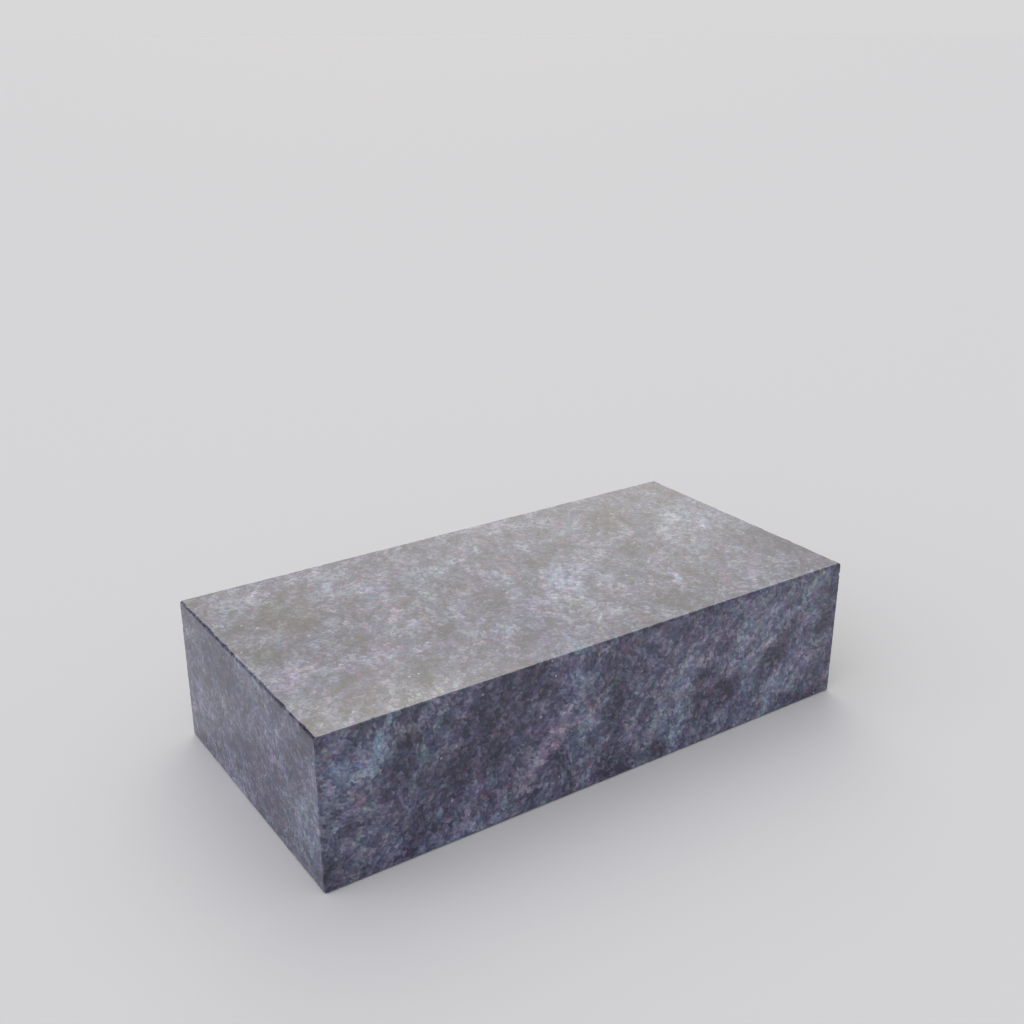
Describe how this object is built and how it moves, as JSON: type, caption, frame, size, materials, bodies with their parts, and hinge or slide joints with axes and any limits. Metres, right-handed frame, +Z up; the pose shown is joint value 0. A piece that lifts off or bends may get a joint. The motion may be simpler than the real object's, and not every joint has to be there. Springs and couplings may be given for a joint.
{
  "type": "flat grave marker",
  "caption": "Plain low rectangular block of dark polished granite, laid flat on a grave as a marker or base stone.",
  "frame": {"origin": "centre of the underside, on the surface that the block lies on", "axes": "+X along the length, -Y out of the long front face, +Z up out of the polished top"},
  "size_m": [0.6, 0.3, 0.15],
  "materials": {
    "polished_granite": "dark violet-grey granite, gloss polished on the top and the four sides, sawn and matt underneath"
  },
  "bodies": {
    "root": {"granite_block": "polished_granite"}
  },
  "joints": []
}
